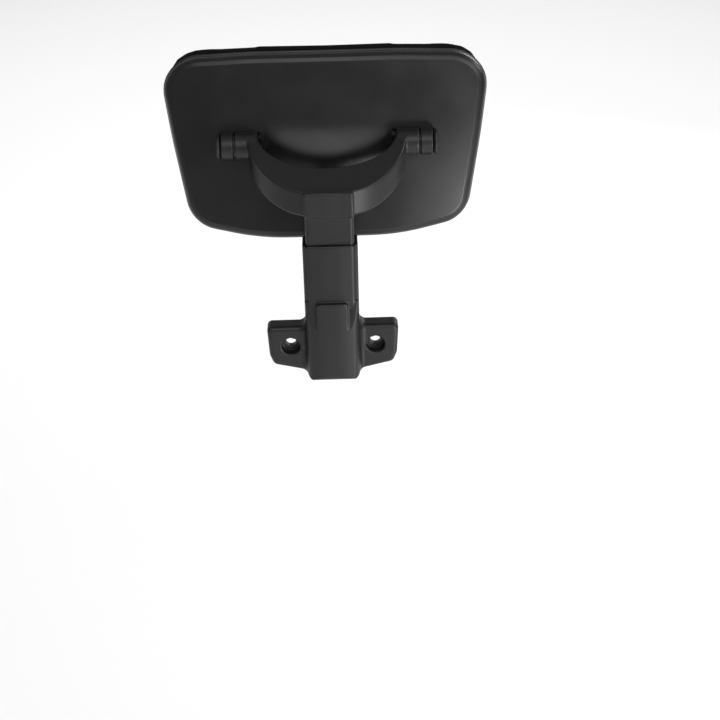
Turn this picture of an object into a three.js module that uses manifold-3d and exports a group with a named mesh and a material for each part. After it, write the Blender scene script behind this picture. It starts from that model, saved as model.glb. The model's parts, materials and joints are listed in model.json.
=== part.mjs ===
// A screw-on headrest for an office chair, in millimetres, seen in use: +X to the sitter's right,
// +Y the way the sitter faces, +Z up. The origin is the middle of the two screw holes, on the flat
// face that bears on the chair.
//
// Three bodies: the mount stays on the chair, the yoke slides up and down in the mount's sleeve,
// and the pad tilts on the yoke's two barrels.
import * as THREE from "three";
import { mergeVertices } from "three/addons/utils/BufferGeometryUtils.js";
import Module from "manifold-3d";

const wasm = await Module();
wasm.setup();

// ---------- driving dimensions ----------
const GAP = 0.3; // running clearance
const WALL = 2.6; // moulded wall

// mount
const SCREW_SPACING = 72.6;
const SCREW_HOLE_RADIUS = 4.5;
const COUNTERBORE_RADIUS = 8;
const COUNTERBORE_DEPTH = 8;
const WING_HALF_WIDTH = 56.5;
const WING_THICKNESS = 15;
const WING_TOP = 18.5;
const SLEEVE_HALF_WIDTH = 22.8;
const SLEEVE_DEPTH = 23;
const SLEEVE_TOP = 97.5;
const BASE_BOTTOM = -29;
const BASE_DEPTH = 27;
const LATCH_HALF_WIDTH = 13.3;
const LATCH_TOP = 46;
const LATCH_BLEND = 20; // the base swells out to the latch housing by this height

// stem and its detents
const STEM_HALF_WIDTH = SLEEVE_HALF_WIDTH - WALL - GAP;
const STEM_BACK = -SLEEVE_DEPTH + WALL + GAP;
const STEM_FRONT = -WALL - GAP;
const DETENT_PITCH = 8;
const CHANNEL_HALF_WIDTH = 7.5;
const CHANNEL_DEPTH = 1.9;
const TOOTH_HEIGHT = 0.7;
const CLIP_NOSE_HEIGHT = 34.5;

// yoke
const PIVOT_Y = 44.5;
const PIVOT_Z = 160;
const FORK_RADIUS = 66; // plan radius of the fork's outer wall about the pivot
const FORK_INNER_HALF_WIDTH = 57.5;
const FORK_INNER_DEPTH = 37;
const FORK_BOTTOM = 122; // at the neck
const FORK_TOP = 143.5;
const BARREL_RADIUS = 11;
const BARREL_SPLIT = 76.9; // the groove between the yoke's barrel and the pad's

// pad, about the pivot
const PAD_TILT = -11; // degrees: its top leans towards the sitter
const SHELL_SETBACK = 4; // shell's back surface in front of the pivot
const WRAP_RADIUS = 800;
const ARCH_RADIUS = 1100;
const RIM_DEPTH = 14;
const BULGE = { height: 7, halfWidth: 52, top: 24, crest: -10, foot: -42, lift: 17 };
const POCKET_FLOOR = 12.3;
const POCKET_INNER = 54.5;
const POCKET_OUTER = 93.1;
const POCKET_RADIUS = 11.6;
const BOARD_THICKNESS = 3;
const CUSHION_THICKNESS = 31;
const OUTLINE_POINTS = 52;

// half of the pad's outline, bottom to top: x, z, corner radius
const PAD_HALF_OUTLINE = [
  [60, -84.5, 220],
  [119.3, -72, 29],
  [131.5, 3, 900],
  [140.3, 73.2, 33],
  [60, 77, 600],
];

// ---------- materials ----------
const plastic = (color, roughness) => new THREE.MeshStandardMaterial({ color, roughness, metalness: 0 });
const metal = (color, roughness) => new THREE.MeshStandardMaterial({ color, roughness, metalness: 1 });
const MATERIALS = {
  shellBlack: plastic(0x1c1c1d, 0.42),
  mouldedBlack: plastic(0x19191a, 0.5),
  glideWhite: plastic(0xd8d6cf, 0.4),
  boardGrey: plastic(0x4a4845, 0.7),
  foamGrey: plastic(0x5d5d60, 0.95),
  coverBlack: plastic(0x141415, 0.9),
  zincSteel: metal(0xa9acb0, 0.35),
  springSteel: metal(0x7f8286, 0.3),
};

// ---------- building blocks ----------
function solid(geometry) {
  const bare = geometry.clone();
  bare.deleteAttribute("normal");
  bare.deleteAttribute("uv");
  const merged = mergeVertices(bare, 1e-4);
  const vertProperties = merged.attributes.position.array;
  const triVerts = new Uint32Array(merged.index.array);
  return new wasm.Manifold(new wasm.Mesh({ numProp: 3, vertProperties, triVerts }));
}

function geometryOf(body) {
  const { vertProperties, triVerts, numProp } = body.getMesh();
  const points = new Float32Array((vertProperties.length / numProp) * 3);
  for (let i = 0; i < points.length / 3; i += 1) {
    points.set(vertProperties.subarray(i * numProp, i * numProp + 3), i * 3);
  }
  const geometry = new THREE.BufferGeometry();
  geometry.setAttribute("position", new THREE.BufferAttribute(points, 3));
  geometry.setIndex([...triVerts]);
  const faceted = geometry.toNonIndexed();
  faceted.computeVertexNormals();
  return faceted;
}

const join = (...bodies) => bodies.reduce((all, body) => all.add(body));
const cut = (body, ...tools) => tools.reduce((left, tool) => left.subtract(tool), body);

function named(name, body, material, position = [0, 0, 0]) {
  const mesh = new THREE.Mesh(geometryOf(body), material);
  mesh.name = name;
  mesh.position.set(...position);
  return mesh;
}

// A closed outline through corners given as [across, up, radius], each rounded by a true arc.
function roundedShape(corners) {
  const shape = new THREE.Shape();
  const at = (i) => new THREE.Vector2(...corners[(i + corners.length) % corners.length]);
  corners.forEach(([, , radius = 0], i) => {
    const corner = at(i);
    const inward = at(i - 1).sub(corner).normalize();
    const onward = at(i + 1).sub(corner).normalize();
    const turn = Math.PI - Math.acos(THREE.MathUtils.clamp(inward.dot(onward), -1, 1));
    const trim = radius * Math.tan(turn / 2);
    const start = corner.clone().addScaledVector(inward, trim);
    const end = corner.clone().addScaledVector(onward, trim);
    if (i === 0) shape.moveTo(start.x, start.y);
    else shape.lineTo(start.x, start.y);
    if (radius === 0) return;
    const leftTurn = inward.cross(onward) < 0;
    const side = leftTurn ? 1 : -1;
    const centre = new THREE.Vector2(start.x + inward.y * radius * side, start.y - inward.x * radius * side);
    const from = Math.atan2(start.y - centre.y, start.x - centre.x);
    const to = Math.atan2(end.y - centre.y, end.x - centre.x);
    shape.absarc(centre.x, centre.y, radius, from, to, !leftTurn);
  });
  shape.closePath();
  return shape;
}

const mirrored = (half) => [...half, ...half.map(([x, z, radius]) => [-x, z, radius]).reverse()];

const box = (across0, across1, up0, up1, radius = 0) =>
  roundedShape([
    [across0, up0, radius],
    [across1, up0, radius],
    [across1, up1, radius],
    [across0, up1, radius],
  ]);

// Prisms: the outline lies across the named axis and runs from one place on it to another.
const PRISM_BASIS = {
  x: [new THREE.Vector3(0, 1, 0), new THREE.Vector3(0, 0, 1), new THREE.Vector3(1, 0, 0)],
  y: [new THREE.Vector3(1, 0, 0), new THREE.Vector3(0, 0, 1), new THREE.Vector3(0, -1, 0)],
  z: [new THREE.Vector3(1, 0, 0), new THREE.Vector3(0, 1, 0), new THREE.Vector3(0, 0, 1)],
};

function prism(axis, shape, from, to, curveSegments = 4) {
  const depth = to - from;
  const geometry = new THREE.ExtrudeGeometry(shape, { depth, bevelEnabled: false, curveSegments });
  geometry.translate(0, 0, axis === "y" ? -to : from);
  geometry.applyMatrix4(new THREE.Matrix4().makeBasis(...PRISM_BASIS[axis]));
  return solid(geometry);
}

// A round rod along the named axis; the other two places follow in x, y, z order.
function rod(axis, radius, from, to, [a, b], segments = 20) {
  const geometry = new THREE.CylinderGeometry(radius, radius, Math.abs(to - from), segments);
  const middle = (from + to) / 2;
  if (axis === "x") geometry.rotateZ(Math.PI / 2).translate(middle, a, b);
  if (axis === "y") geometry.translate(a, middle, b);
  if (axis === "z") geometry.rotateX(Math.PI / 2).translate(a, b, middle);
  return solid(geometry);
}

// A closed form whose rings follow one outline. A ring is [inset, fraction, surface]: the outline
// moved in by inset, scaled to fraction of itself, at the depth that surface gives. The first ring
// is the middle of the back and the last is the middle of the front.
function ringForm(outline, rings) {
  const around = outline.length;
  const geometry = new THREE.SphereGeometry(1, around, rings.length - 1);
  const place = geometry.attributes.position;
  rings.forEach(([inset, fraction, surface], row) => {
    for (let column = 0; column <= around; column += 1) {
      const before = outline[(column + around - 1) % around];
      const here = outline[column % around];
      const after = outline[(column + 1) % around];
      const along = after.clone().sub(before).normalize();
      const x = (here.x - along.y * inset) * fraction;
      const z = (here.y + along.x * inset) * fraction;
      place.setXYZ(row * (around + 1) + column, x, surface(x, z), z);
    }
  });
  return solid(geometry);
}

// ---------- mount ----------
function screwHole(x) {
  const through = rod("y", SCREW_HOLE_RADIUS, -WING_THICKNESS - 1, 1, [x, 0]);
  const head = rod("y", COUNTERBORE_RADIUS, -WING_THICKNESS - 1, -WING_THICKNESS + COUNTERBORE_DEPTH, [x, 0]);
  return join(through, head);
}

const LATCH_POCKET = { halfWidth: 8, bottom: 26, top: 43, back: -BASE_DEPTH + 1.8 };
const GLIDE = { width: 10, height: 20, thickness: 1.1, middles: { lower: 30, upper: 80 } };
const STOP_SCREW = { z: 62, radius: 1.9, headRadius: 3.6, headDepth: 1.8, reach: 5.5 };

function mountBracket() {
  const wings = prism(
    "y",
    roundedShape(
      mirrored([
        [24.5, -26, 6],
        [51.5, -18, 6],
        [54.9, -9, 8],
        [WING_HALF_WIDTH, WING_TOP, 4.5],
      ]),
    ),
    -BASE_DEPTH,
    0,
  );
  const filletReach = SLEEVE_HALF_WIDTH + 5;
  const plan = prism(
    "z",
    roundedShape(
      mirrored([
        [WING_HALF_WIDTH, 0, 1.5],
        [WING_HALF_WIDTH, -WING_THICKNESS, 2.5],
        [SLEEVE_HALF_WIDTH + 0.2, -WING_THICKNESS, 5],
        [SLEEVE_HALF_WIDTH, -BASE_DEPTH, 4],
      ].reverse()),
    ),
    BASE_BOTTOM - 1,
    WING_TOP + 1,
  );
  const base = prism(
    "x",
    roundedShape([
      [0, BASE_BOTTOM, 1],
      [0, LATCH_TOP],
      [-SLEEVE_DEPTH, LATCH_TOP],
      [-BASE_DEPTH, LATCH_BLEND, 20],
      [-BASE_DEPTH, BASE_BOTTOM, 2],
    ]),
    -filletReach,
    filletReach,
  );
  const baseFront = box(-SLEEVE_HALF_WIDTH, SLEEVE_HALF_WIDTH, BASE_BOTTOM, LATCH_TOP + 10, 6);
  const sleevePlan = mirrored([
    [SLEEVE_HALF_WIDTH, -BASE_DEPTH, 4],
    [SLEEVE_HALF_WIDTH, 0, 1.5],
  ]);
  const column = mirrored([
    [SLEEVE_HALF_WIDTH - 4.2, -SLEEVE_DEPTH, 1.2],
    [SLEEVE_HALF_WIDTH, -SLEEVE_DEPTH + 3.2, 1.2],
    [SLEEVE_HALF_WIDTH, 0, 1.5],
  ]);
  const latch = box(-LATCH_HALF_WIDTH, LATCH_HALF_WIDTH, LATCH_BLEND - 5, LATCH_TOP, 3);
  const body = join(
    wings.intersect(plan),
    base
      .intersect(prism("z", roundedShape(sleevePlan), BASE_BOTTOM, LATCH_TOP))
      .intersect(prism("y", baseFront, -BASE_DEPTH - 1, 1)),
    prism("z", roundedShape(column), 0, SLEEVE_TOP),
    prism("y", latch, -BASE_DEPTH, -SLEEVE_DEPTH + 1),
  );

  const innerHalf = STEM_HALF_WIDTH + GAP;
  const cavity = prism("z", box(-innerHalf, innerHalf, -SLEEVE_DEPTH + WALL, -WALL), BASE_BOTTOM + 3, SLEEVE_TOP + 1);
  const { halfWidth, bottom, top, back } = LATCH_POCKET;
  const clipPocket = prism("y", box(-halfWidth, halfWidth, bottom, top), back, STEM_BACK);
  const glideSeats = Object.values(GLIDE.middles).map((z) => {
    const reach = innerHalf + GLIDE.thickness + GAP;
    const y = -SLEEVE_DEPTH / 2;
    const halfDepth = GLIDE.width / 2 + GAP;
    const halfHeight = GLIDE.height / 2 + GAP;
    return prism("x", box(y - halfDepth, y + halfDepth, z - halfHeight, z + halfHeight), -reach, reach);
  });
  const { z, radius, headRadius, headDepth } = STOP_SCREW;
  const stopBore = rod("y", radius + GAP, -WALL - 1, 1, [0, z], 16);
  const stopSeat = rod("y", headRadius + GAP, -headDepth, 1, [0, z]);
  const holes = [-1, 1].map((side) => screwHole((side * SCREW_SPACING) / 2));
  return cut(body, cavity, clipPocket, ...glideSeats, stopBore, stopSeat, ...holes);
}

// A strip bent back on itself, with a nose that rides over the stem's teeth.
function detentClip() {
  const outer = LATCH_POCKET.back + GAP;
  const strip = 0.6;
  const tip = STEM_BACK + CHANNEL_DEPTH - TOOTH_HEIGHT - GAP;
  const leg = STEM_BACK - 1.5;
  const nose = CLIP_NOSE_HEIGHT;
  const profile = roundedShape([
    [outer, 27],
    [outer + strip, 27],
    [outer + strip, 41.4 - strip],
    [leg - strip, 41.4 - strip],
    [leg - strip, nose + 2.6],
    [tip - strip, nose],
    [leg - strip, nose - 2.8],
    [leg, nose - 3.2],
    [tip, nose, 0.5],
    [leg, nose + 3],
    [leg, 41.4, 0.8],
    [outer, 41.4, 0.8],
  ]);
  return prism("x", profile, -6, 6);
}

function glidePad(side) {
  const inner = STEM_HALF_WIDTH + GAP;
  const [from, to] = [side * inner, side * (inner + GLIDE.thickness)].sort((a, b) => a - b);
  const outline = box(-GLIDE.width / 2, GLIDE.width / 2, -GLIDE.height / 2, GLIDE.height / 2, 1);
  return prism("x", outline, from, to, 2);
}

function travelStopScrew() {
  const { radius, headRadius, headDepth, reach } = STOP_SCREW;
  const head = rod("y", headRadius, -headDepth + GAP, -0.2, [0, 0]);
  const drive = prism("y", box(-1.9, 1.9, -0.4, 0.4), -0.9, 0);
  const crossDrive = prism("y", box(-0.4, 0.4, -1.9, 1.9), -0.9, 0);
  return cut(join(head, rod("y", radius, -reach, -1, [0, 0], 16)), drive, crossDrive);
}

// ---------- yoke ----------
const TRAVEL_DOWN = 2 * DETENT_PITCH;
const TRAVEL_UP = 3 * DETENT_PITCH;
const CAP_THICKNESS = 2.3;
const STEM_HOLLOW = { halfWidth: 16.9, back: STEM_BACK + 3.7, front: STEM_FRONT - 5.8, top: 108 };
const NUT = { acrossFlats: 10, thickness: 5 };
const BOLT = { radius: 2.8, headRadius: 5, headHeight: 4.4 };

// The fork seen from above: a thick crescent round the pivot.
function forkPlan() {
  const shape = new THREE.Shape();
  shape.moveTo(FORK_RADIUS, BARREL_RADIUS);
  shape.lineTo(FORK_RADIUS, 0);
  shape.absarc(0, 0, FORK_RADIUS, 0, Math.PI, true);
  shape.lineTo(-FORK_RADIUS, BARREL_RADIUS);
  shape.lineTo(-FORK_INNER_HALF_WIDTH, BARREL_RADIUS);
  shape.lineTo(-FORK_INNER_HALF_WIDTH, 0);
  shape.absellipse(0, 0, FORK_INNER_HALF_WIDTH, FORK_INNER_DEPTH, Math.PI, 0, false);
  shape.lineTo(FORK_INNER_HALF_WIDTH, BARREL_RADIUS);
  return shape;
}

function yoke() {
  const forkBack = PIVOT_Y - FORK_RADIUS;
  const crescent = prism("z", forkPlan(), FORK_BOTTOM, PIVOT_Z + BARREL_RADIUS, 20)
    .translate([0, PIVOT_Y, 0]);
  // seen from the side the band rises to the barrels and ends round them
  const band = new THREE.Shape();
  band.moveTo(forkBack - 1, FORK_BOTTOM);
  band.lineTo(forkBack + 8, FORK_BOTTOM + 1.5);
  band.lineTo(PIVOT_Y, PIVOT_Z - BARREL_RADIUS);
  band.absarc(PIVOT_Y, PIVOT_Z, BARREL_RADIUS, -Math.PI / 2, Math.PI / 2, false);
  band.lineTo(forkBack + 8, FORK_TOP + 1.5);
  band.lineTo(forkBack - 1, FORK_TOP);
  const fork = crescent.intersect(prism("x", band, -FORK_RADIUS - 1, FORK_RADIUS + 1, 12));
  const facet = prism("z", box(-STEM_HALF_WIDTH, STEM_HALF_WIDTH, forkBack, forkBack + 12, 1.2), FORK_BOTTOM, FORK_TOP);
  const barrelEnd = BARREL_SPLIT - 0.6;
  const barrels = [-1, 1].map((side) => {
    const ends = [side * (FORK_INNER_HALF_WIDTH + 1), side * barrelEnd].sort((a, b) => a - b);
    return rod("x", BARREL_RADIUS, ...ends, [PIVOT_Y, PIVOT_Z], 28);
  });
  const stemPlan = mirrored([
    [STEM_HALF_WIDTH - 2, STEM_BACK, 0.8],
    [STEM_HALF_WIDTH, STEM_BACK + 2, 0.8],
    [STEM_HALF_WIDTH, STEM_FRONT, 1],
  ]);
  const stem = prism("z", roundedShape(stemPlan), 0, FORK_BOTTOM + 5, 3);

  const { halfWidth, back, front, top } = STEM_HOLLOW;
  const hollow = prism("z", box(-halfWidth, halfWidth, back, front), -1, top);
  const channelFloor = STEM_BACK + CHANNEL_DEPTH;
  const channelTop = CLIP_NOSE_HEIGHT + TRAVEL_DOWN + DETENT_PITCH;
  const channel = prism("z", box(-CHANNEL_HALF_WIDTH, CHANNEL_HALF_WIDTH, STEM_BACK - 1, channelFloor), -1, channelTop);
  const slotLow = STOP_SCREW.z - TRAVEL_UP - STOP_SCREW.radius - 0.4;
  const slotHigh = STOP_SCREW.z + TRAVEL_DOWN + STOP_SCREW.radius + 0.4;
  const stopSlot = prism("y", box(-2.6, 2.6, slotLow, slotHigh, 2.4), STEM_FRONT - 4, STEM_FRONT + 1);
  const bores = [-1, 1].flatMap((side) => {
    const inner = side * (FORK_INNER_HALF_WIDTH - 2);
    const bore = [inner, side * (barrelEnd + 1)].sort((a, b) => a - b);
    const pocket = [inner, side * (FORK_INNER_HALF_WIDTH + NUT.thickness + 0.8)].sort((a, b) => a - b);
    const pocketRadius = (NUT.acrossFlats / 2 + GAP) / Math.cos(Math.PI / 6);
    return [
      rod("x", BOLT.radius + GAP, ...bore, [PIVOT_Y, PIVOT_Z]),
      rod("x", pocketRadius, ...pocket, [PIVOT_Y, PIVOT_Z], 6),
    ];
  });
  const hollowed = cut(join(fork, facet, stem, ...barrels), hollow, channel, stopSlot, ...bores);

  const teeth = [];
  for (let z = CLIP_NOSE_HEIGHT - DETENT_PITCH / 2 - 3 * DETENT_PITCH; z < channelTop - 2; z += DETENT_PITCH) {
    const tooth = roundedShape([
      [channelFloor - TOOTH_HEIGHT, z],
      [channelFloor + 0.5, z - 2],
      [channelFloor + 0.5, z + 2],
    ]);
    teeth.push(prism("x", tooth, -CHANNEL_HALF_WIDTH, CHANNEL_HALF_WIDTH));
  }
  return join(hollowed, ...teeth);
}

function stemEndCap() {
  const { halfWidth, back, front } = STEM_HOLLOW;
  const edge = 0.4;
  const plate = prism(
    "z",
    box(-STEM_HALF_WIDTH + edge, STEM_HALF_WIDTH - edge, STEM_BACK + CHANNEL_DEPTH, STEM_FRONT - edge, 0.8),
    -CAP_THICKNESS - GAP,
    -GAP,
  );
  const plug = prism("z", box(-halfWidth + GAP, halfWidth - GAP, back + GAP, front - GAP), -GAP - 0.5, 5);
  const vent = rod("z", 1.5, -CAP_THICKNESS - 1, 6, [0, (back + front) / 2], 12);
  return cut(join(plate, plug), vent);
}

function lockNut() {
  const half = NUT.thickness / 2;
  const hexRadius = NUT.acrossFlats / 2 / Math.cos(Math.PI / 6);
  return cut(rod("x", hexRadius, -half, half, [0, 0], 6), rod("x", BOLT.radius + GAP, -half - 1, half + 1, [0, 0]));
}

// The bolt's head seats inside the pad's knuckle, on the knuckle's inner shoulder.
const KNUCKLE = {
  inner: BARREL_SPLIT + 0.8,
  shoulder: BARREL_SPLIT + 5.3,
  outer: 87.6,
  headBore: 6.4,
};

function pivotBolt(side) {
  const tip = side * (FORK_INNER_HALF_WIDTH + 0.4);
  const seat = side * (KNUCKLE.shoulder + GAP);
  const top = side * (KNUCKLE.shoulder + GAP + BOLT.headHeight);
  const shank = rod("x", BOLT.radius, ...[tip, side * (KNUCKLE.shoulder + 1)].sort((a, b) => a - b), [0, 0]);
  const head = rod("x", BOLT.headRadius, ...[seat, top].sort((a, b) => a - b), [0, 0]);
  const key = rod("x", 2.9, ...[top - side * 2.4, top + side].sort((a, b) => a - b), [0, 0], 6);
  return cut(join(shank, head), key);
}

// ---------- pad ----------
// the last of the spaced points repeats the first
const PAD_OUTLINE = roundedShape(mirrored(PAD_HALF_OUTLINE)).getSpacedPoints(OUTLINE_POINTS).slice(0, -1);

// The smooth swelling between the fork's arms: a ramp that steepens on its way down to a curved
// crest, and a gentler fall below it. The crest follows the fork's inner curve.
function bulge(x, z) {
  const { height, halfWidth, top, crest, foot, lift } = BULGE;
  const side = Math.min(1, (x / halfWidth) ** 2);
  const ridge = crest + lift * side;
  const ramp = THREE.MathUtils.clamp((top - z) / (top - ridge), 0, 1);
  const fall = THREE.MathUtils.smoothstep(ridge - z, 0, ridge - foot);
  return height * (1 - side) * ramp ** 3 * (4 - 3 * ramp) * (1 - fall);
}

const wrapped = (x, z) => SHELL_SETBACK + x ** 2 / (2 * WRAP_RADIUS) + z ** 2 / (2 * ARCH_RADIUS);
const raised = (height) => (x, z) => wrapped(x, z) + height;
const shellBack = (x, z) => wrapped(x, z) - bulge(x, z);
const shellInside = (x, z) => shellBack(x, z) + 2.5;

const CLIP_PLACES = [
  [-100, 48],
  [0, 60],
  [100, 48],
  [-88, -50],
  [0, -62],
  [88, -50],
];
const CLIP = { stemRadius: 2.5, headRadius: 5, socketRadius: 5.2 };
const BOARD_BACK = RIM_DEPTH - BOARD_THICKNESS - 2;
const BOARD_FRONT = BOARD_BACK + BOARD_THICKNESS;
const BACK_FRACTIONS = [0.1, 0.2, 0.3, 0.4, 0.5, 0.75];
const INSIDE_FRACTIONS = [0.14, 0.28, 0.4, 0.55];

function rearShell() {
  const dish = ringForm(PAD_OUTLINE, [
    [8, 0, shellBack],
    ...BACK_FRACTIONS.map((fraction) => [8, fraction, shellBack]),
    [8, 1, shellBack],
    [4.5, 1, raised(1)],
    [2.3, 1, raised(3.2)],
    [1.3, 1, raised(6.5)],
    [1.2, 1, raised(10.6)],
    [0, 1, raised(11)],
    [0, 1, raised(RIM_DEPTH)],
    [2.6, 1, raised(RIM_DEPTH)],
    [3.4, 1, raised(7)],
    [6, 1, raised(3.4)],
    [10, 1, shellInside],
    ...[...INSIDE_FRACTIONS].reverse().map((fraction) => [10, fraction, shellInside]),
    [10, 0, shellInside],
  ]);
  // a round trough for the barrels, open to the back, with a seat for the knuckle's foot
  const pockets = [-1, 1].map((side) => {
    const across = [side * POCKET_INNER, side * POCKET_OUTER].sort((a, b) => a - b);
    const foot = [side * (KNUCKLE.inner - GAP), side * (KNUCKLE.outer + GAP)].sort((a, b) => a - b);
    return join(
      rod("x", POCKET_RADIUS, ...across, [0, 0], 28),
      prism("y", box(...across, -POCKET_RADIUS, POCKET_RADIUS), -20, 0),
      prism("y", box(...foot, -FOOT_HALF_HEIGHT - GAP, FOOT_HALF_HEIGHT + GAP), 2.6, POCKET_FLOOR),
    );
  });
  const wall = 2.2;
  const pocketWalls = [-1, 1].map((side) => {
    const inner = side * (POCKET_INNER - wall);
    const outer = side * (POCKET_OUTER + wall);
    const floor = POCKET_FLOOR + wall;
    const plan = [
      [inner, wrapped(inner, 0) + 1.3],
      [outer, wrapped(outer, 0) + 1.3],
      [outer, floor],
      [inner, floor],
    ];
    const half = POCKET_RADIUS + wall;
    return prism("z", roundedShape(side > 0 ? plan : plan.reverse()), -half, half);
  });
  const sockets = CLIP_PLACES.map(([x, z]) =>
    rod("y", CLIP.socketRadius, shellInside(x, z) - 0.8, wrapped(x, z) + BOARD_BACK - 1, [x, z], 16),
  );
  const socketBores = CLIP_PLACES.map(([x, z]) =>
    rod("y", CLIP.stemRadius + GAP, shellInside(x, z) + 0.3, wrapped(x, z) + BOARD_BACK, [x, z], 16),
  );
  const screwBores = KNUCKLE_SCREWS.map(({ x, z }) => rod("y", 2, POCKET_FLOOR - 1, POCKET_FLOOR + 4, [x, z], 12));
  return cut(join(dish, ...pocketWalls, ...sockets), ...pockets, ...socketBores, ...screwBores);
}

const KNUCKLE_MIDDLE = (KNUCKLE.inner + KNUCKLE.outer) / 2;
const KNUCKLE_SCREW_RISE = 7.2;
const FOOT_HALF_HEIGHT = 10.6;
const KNUCKLE_SCREWS = [
  { name: "knuckle_screw_left_lower", x: -KNUCKLE_MIDDLE, z: -KNUCKLE_SCREW_RISE },
  { name: "knuckle_screw_left_upper", x: -KNUCKLE_MIDDLE, z: KNUCKLE_SCREW_RISE },
  { name: "knuckle_screw_right_lower", x: KNUCKLE_MIDDLE, z: -KNUCKLE_SCREW_RISE },
  { name: "knuckle_screw_right_upper", x: KNUCKLE_MIDDLE, z: KNUCKLE_SCREW_RISE },
];

function hingeKnuckle(side) {
  const span = (from, to) => [side * from, side * to].sort((a, b) => a - b);
  const barrel = rod("x", BARREL_RADIUS, ...span(KNUCKLE.inner, KNUCKLE.outer), [0, 0], 28);
  const footPlan = box(...span(KNUCKLE.inner, KNUCKLE.outer), -FOOT_HALF_HEIGHT, FOOT_HALF_HEIGHT);
  const foot = prism("y", footPlan, 2.9, POCKET_FLOOR - GAP);
  const bore = rod("x", BOLT.radius + 0.5, ...span(KNUCKLE.inner - 1, KNUCKLE.outer + 1), [0, 0]);
  const headBore = rod("x", KNUCKLE.headBore, ...span(KNUCKLE.shoulder, KNUCKLE.outer + 1), [0, 0]);
  const screwBores = [-1, 1].map((end) =>
    rod("y", 1.9, 5.6, POCKET_FLOOR + 1, [side * KNUCKLE_MIDDLE, end * KNUCKLE_SCREW_RISE], 12),
  );
  return cut(join(barrel, foot), bore, headBore, ...screwBores);
}

// Pan head inside the shell, thread running back into the knuckle's foot.
function knuckleScrew() {
  const seat = POCKET_FLOOR + 2.2 + GAP;
  const head = rod("y", 3.1, seat, seat + 1.7, [0, 0]);
  const shank = rod("y", 1.6, 6, seat + 0.5, [0, 0], 12);
  return cut(join(head, shank), rod("y", 1, seat + 0.9, seat + 3, [0, 0], 6));
}

function hingeCap(side) {
  const inner = KNUCKLE.outer + GAP;
  const dome = new THREE.LatheGeometry(
    [
      new THREE.Vector2(0, 0),
      new THREE.Vector2(BARREL_RADIUS, 0),
      new THREE.Vector2(BARREL_RADIUS, 1.2),
      new THREE.Vector2(BARREL_RADIUS - 0.6, 2.7),
      new THREE.Vector2(BARREL_RADIUS - 2.1, 3.9),
      new THREE.Vector2(BARREL_RADIUS - 4, 4.4),
      new THREE.Vector2(0, 4.7),
    ],
    28,
  );
  dome.rotateZ(-Math.PI / 2).translate(inner, 0, 0);
  if (side < 0) dome.rotateZ(Math.PI);
  const plug = rod("x", 6, ...[side * (inner + 0.5), side * (inner - 0.6)].sort((a, b) => a - b), [0, 0]);
  return join(solid(dome), plug);
}

function frictionWasher() {
  return cut(rod("x", 9.4, -0.4, 0.4, [0, 0]), rod("x", BOLT.radius + GAP, -1, 1, [0, 0]));
}

function cushionBoard() {
  const board = ringForm(PAD_OUTLINE, [
    [5.2, 0, raised(BOARD_BACK)],
    ...[0.35, 0.7].map((fraction) => [5.2, fraction, raised(BOARD_BACK)]),
    [5.2, 1, raised(BOARD_BACK)],
    [5.2, 1, raised(BOARD_FRONT)],
    ...[0.7, 0.35].map((fraction) => [5.2, fraction, raised(BOARD_FRONT)]),
    [5.2, 0, raised(BOARD_FRONT)],
  ]);
  const holes = CLIP_PLACES.map(([x, z]) =>
    rod("y", CLIP.stemRadius + GAP, wrapped(x, z) + BOARD_BACK - 3, wrapped(x, z) + BOARD_FRONT + 3, [x, z], 16),
  );
  return cut(board, ...holes);
}

function boardClip() {
  const head = rod("y", CLIP.headRadius, BOARD_FRONT + 1.2, BOARD_FRONT + 2.2, [0, 0], 16);
  return join(head, rod("y", CLIP.stemRadius, 3.4, BOARD_FRONT + 1.5, [0, 0], 16));
}

// The sitter's side: a soft crown that falls away to the pad's edge.
const cushionFront = (under) => (x, z) => {
  const fall = 5 * (x / 130) ** 2 + 7 * (z / 80) ** 2;
  return wrapped(x, z) + RIM_DEPTH + CUSHION_THICKNESS - fall - under;
};

function foamCore() {
  const back = raised(BOARD_FRONT + 3.6);
  const front = cushionFront(2.2);
  return ringForm(PAD_OUTLINE, [
    [7, 0, back],
    ...[0.5, 1].map((fraction) => [7, fraction, back]),
    [4.8, 1, raised(RIM_DEPTH + 4)],
    [4.8, 1, raised(RIM_DEPTH + 12)],
    [8, 1, raised(RIM_DEPTH + 17)],
    [17, 1, front],
    ...[0.66, 0.33].map((fraction) => [17, fraction, front]),
    [17, 0, front],
  ]);
}

function fabricCover() {
  const inside = cushionFront(1.7);
  const outside = cushionFront(0);
  return ringForm(PAD_OUTLINE, [
    [15, 0, inside],
    ...[0.33, 0.66, 1].map((fraction) => [15, fraction, inside]),
    [6, 1, raised(RIM_DEPTH + 16)],
    [3.3, 1, raised(RIM_DEPTH + 11)],
    [3.3, 1, raised(RIM_DEPTH + 3)],
    [4.7, 1, raised(RIM_DEPTH - 1.6)],
    [3.4, 1, raised(RIM_DEPTH - 1.6)],
    [3.1, 1, raised(RIM_DEPTH + 0.6)],
    [1.8, 1, raised(RIM_DEPTH + 2)],
    [1.2, 1, raised(RIM_DEPTH + 6)],
    [1.8, 1, raised(RIM_DEPTH + 12)],
    [5.4, 1, raised(RIM_DEPTH + 18)],
    [15, 1, outside],
    ...[0.66, 0.33].map((fraction) => [15, fraction, outside]),
    [15, 0, outside],
  ]);
}

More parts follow.
